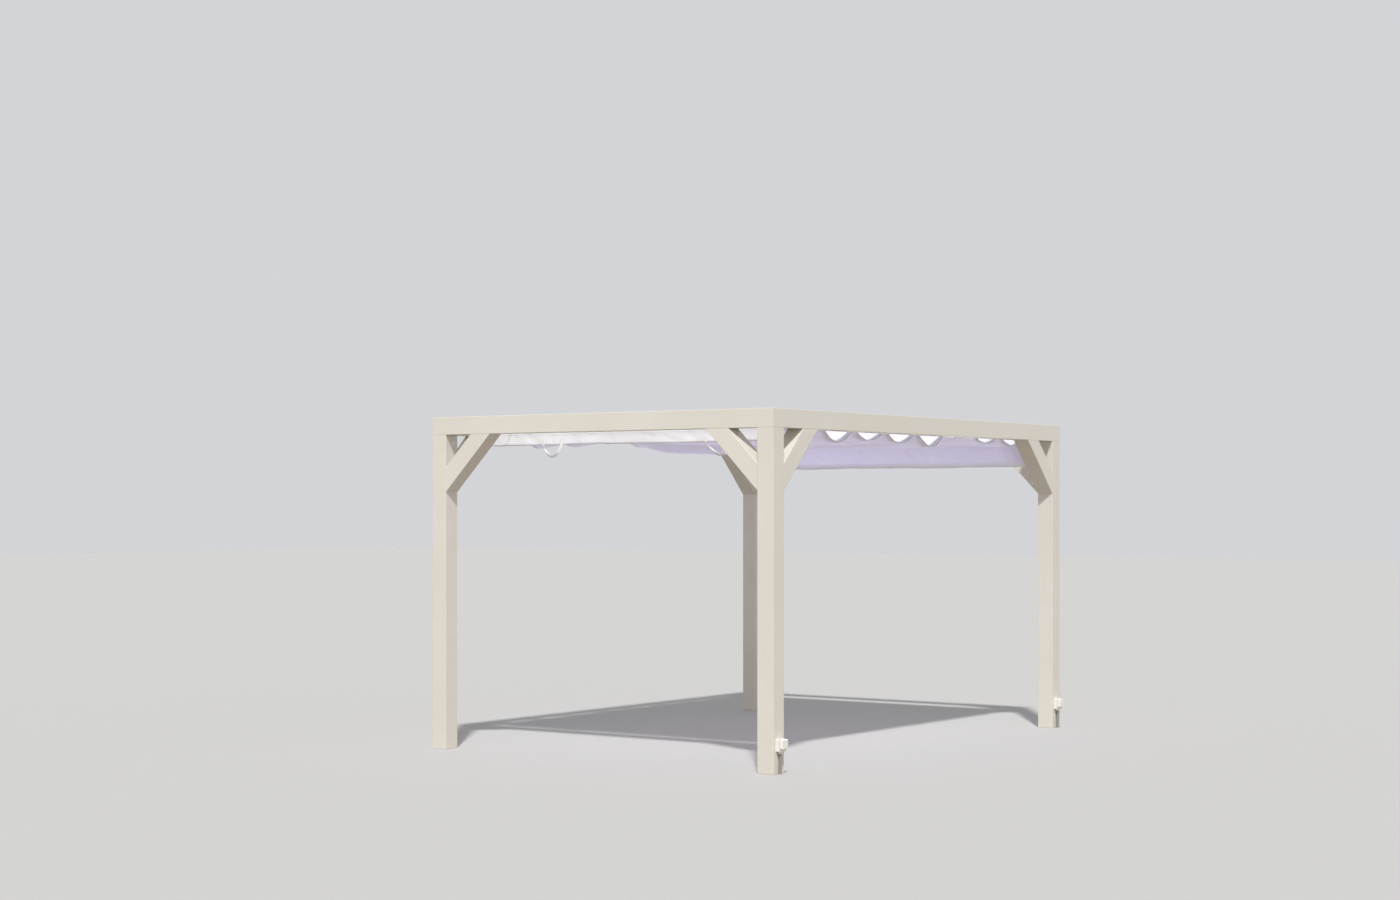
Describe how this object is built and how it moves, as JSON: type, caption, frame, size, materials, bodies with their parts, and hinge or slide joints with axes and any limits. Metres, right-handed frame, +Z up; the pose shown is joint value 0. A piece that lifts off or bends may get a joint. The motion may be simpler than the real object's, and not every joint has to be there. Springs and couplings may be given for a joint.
{
  "type": "pergola with sliding wave canopy",
  "caption": "Free-standing timber pergola with square posts, a flush ring of beams, knee braces and a white canopy that hangs in waves.",
  "frame": {"origin": "on the ground, midway between the four posts", "axes": "+X along the long side, away from the side with the pull straps; +Y along the short side, away from the side with the sockets; +Z up"},
  "size_m": [4.05, 2.952, 2.35],
  "materials": {
    "painted_timber": "satin paint, warm off-white, on planed timber",
    "canopy_cloth": "plain woven outdoor cloth, white",
    "strap_webbing": "woven webbing, white",
    "batten_metal": "satin anodised",
    "stainless_steel": "satin stainless",
    "socket_plastic": "semi-gloss moulded",
    "conduit_plastic": "matt extruded, light grey"
  },
  "bodies": {
    "root": {"back_beam": "painted_timber", "back_left_eye_bolt": "stainless_steel", "back_left_long_brace": "painted_timber", "back_left_post": "painted_timber", "back_left_short_brace": "painted_timber", "back_pull_strap": "strap_webbing", "back_right_eye_bolt": "stainless_steel", "back_right_long_brace": "painted_timber", "back_right_post": "painted_timber", "back_right_short_brace": "painted_timber", "back_turnbuckle": "stainless_steel", "back_wire": "stainless_steel", "batten_1": "batten_metal", "batten_2": "batten_metal", "batten_3": "batten_metal", "batten_4": "batten_metal", "batten_5": "batten_metal", "batten_6": "batten_metal", "batten_7": "batten_metal", "batten_8": "batten_metal", "batten_9": "batten_metal", "canopy": "canopy_cloth", "front_beam": "painted_timber", "front_left_eye_bolt": "stainless_steel", "front_left_long_brace": "painted_timber", "front_left_post": "painted_timber", "front_left_short_brace": "painted_timber", "front_pull_strap": "strap_webbing", "front_right_eye_bolt": "stainless_steel", "front_right_long_brace": "painted_timber", "front_right_post": "painted_timber", "front_right_short_brace": "painted_timber", "front_turnbuckle": "stainless_steel", "front_wire": "stainless_steel", "left_beam": "painted_timber", "left_conduit": "conduit_plastic", "left_socket_base": "socket_plastic", "left_socket_lid": "socket_plastic", "right_beam": "painted_timber", "right_conduit": "conduit_plastic", "right_socket_base": "socket_plastic", "right_socket_lid": "socket_plastic"}
  },
  "joints": []
}
